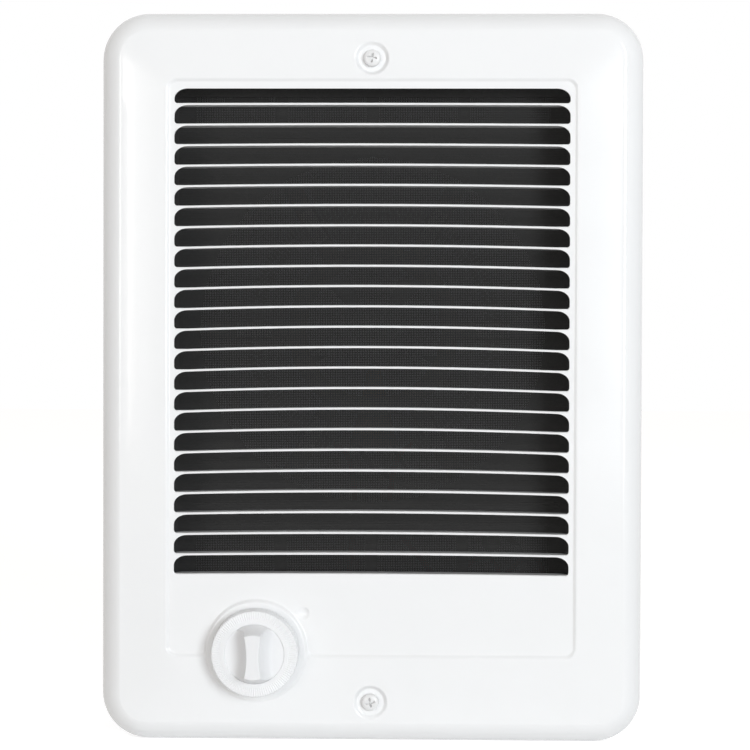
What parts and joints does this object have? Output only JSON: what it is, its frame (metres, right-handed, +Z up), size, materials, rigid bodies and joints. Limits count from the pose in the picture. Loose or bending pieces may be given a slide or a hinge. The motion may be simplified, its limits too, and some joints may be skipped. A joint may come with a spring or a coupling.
{
  "type": "bathroom wall fan heater",
  "caption": "Recessed wall fan heater: steel wall can, axial fan and coil element behind a white louvered grille, with a thermostat knob at the lower left.",
  "frame": {"origin": "centre of the opening in the wall, in the plane of the wall's surface", "axes": "+Z up, -Y out of the wall towards the room, +X to the right of someone facing the grille"},
  "size_m": [0.2264, 0.1336, 0.3048],
  "materials": {
    "enamel": "gloss baked white enamel",
    "white_screw": "white painted screw head, semi-gloss",
    "knob_plastic": "moulded white plastic, semi-gloss",
    "matte_black_paint": "matte black heat-resistant paint",
    "galvanised_steel": "galvanised sheet with spangle",
    "zinc_steel": "zinc-plated",
    "nichrome": "oxidised resistance wire",
    "ceramic": "unglazed",
    "mica": "mica board",
    "fan_aluminium": "mill finish",
    "lamination_steel": "varnished laminations",
    "winding_tape": "taped copper winding",
    "sintered_bronze": "oil-filled sintered bronze",
    "black_plastic": "moulded black plastic",
    "red_plastic": "moulded red plastic",
    "orange_plastic": "moulded orange plastic",
    "green_screw": "green-dyed screw",
    "copper_tube": "drawn copper",
    "red_wire": "silicone sleeve",
    "black_wire": "silicone sleeve"
  },
  "bodies": {
    "housing": {"grille": "enamel", "grille_screw_top": "white_screw", "grille_screw_bottom": "white_screw", "wall_can": "galvanised_steel", "cable_inlet_bushing": "black_plastic", "ground_screw": "green_screw", "heater_deck": "matte_black_paint", "louver_screen": "matte_black_paint", "deck_screw_1": "zinc_steel", "deck_screw_2": "zinc_steel", "deck_screw_3": "zinc_steel", "deck_screw_4": "zinc_steel", "thermostat_nut": "zinc_steel", "thermostat_body": "black_plastic", "sensing_bulb": "copper_tube", "bulb_clip": "zinc_steel", "outlet_shroud": "galvanised_steel", "element_coil": "nichrome", "element_frame": "mica", "motor_stator": "lamination_steel", "motor_winding": "winding_tape", "motor_strap": "galvanised_steel", "motor_bracket_front": "zinc_steel", "motor_bracket_rear": "zinc_steel", "bearing_front": "sintered_bronze", "bearing_rear": "sintered_bronze", "motor_screw_left": "zinc_steel", "motor_screw_right": "zinc_steel", "limit_switch": "black_plastic", "reset_spring": "zinc_steel", "wire_nut_1": "orange_plastic", "wire_nut_2": "orange_plastic", "coil_insulator_1": "ceramic", "coil_insulator_2": "ceramic", "coil_insulator_3": "ceramic", "coil_insulator_4": "ceramic", "coil_insulator_5": "ceramic", "coil_insulator_6": "ceramic", "lead_element_thermostat": "red_wire", "lead_element_limit": "red_wire", "lead_supply_thermostat": "red_wire", "lead_supply_limit": "red_wire", "lead_motor_a": "black_wire", "lead_motor_b": "black_wire"},
    "thermostat_control": {"control_knob": "knob_plastic", "thermostat_shaft": "zinc_steel"},
    "fan_rotor": {"fan_blade": "fan_aluminium", "fan_clip": "zinc_steel", "motor_shaft": "zinc_steel", "motor_rotor": "lamination_steel"},
    "limit_button": {"reset_button": "red_plastic"}
  },
  "joints": [
    {"name": "knob_turn", "type": "hinge", "parent": "housing", "child": "thermostat_control", "pos_m": [-0.0476, -0.02, -0.1137], "axis": [0, 1, 0], "range_deg": [0, 270]},
    {"name": "fan_spin", "type": "hinge", "parent": "housing", "child": "fan_rotor", "pos_m": [0, 0.04, 0.02], "axis": [0, 1, 0], "continuous": true},
    {"name": "reset_press", "type": "slide", "parent": "housing", "child": "limit_button", "axis": [0, 1, 0], "range_m": [0, 0.0015], "stiffness_N_per_m": 800, "springref_m": -0.0008}
  ]
}
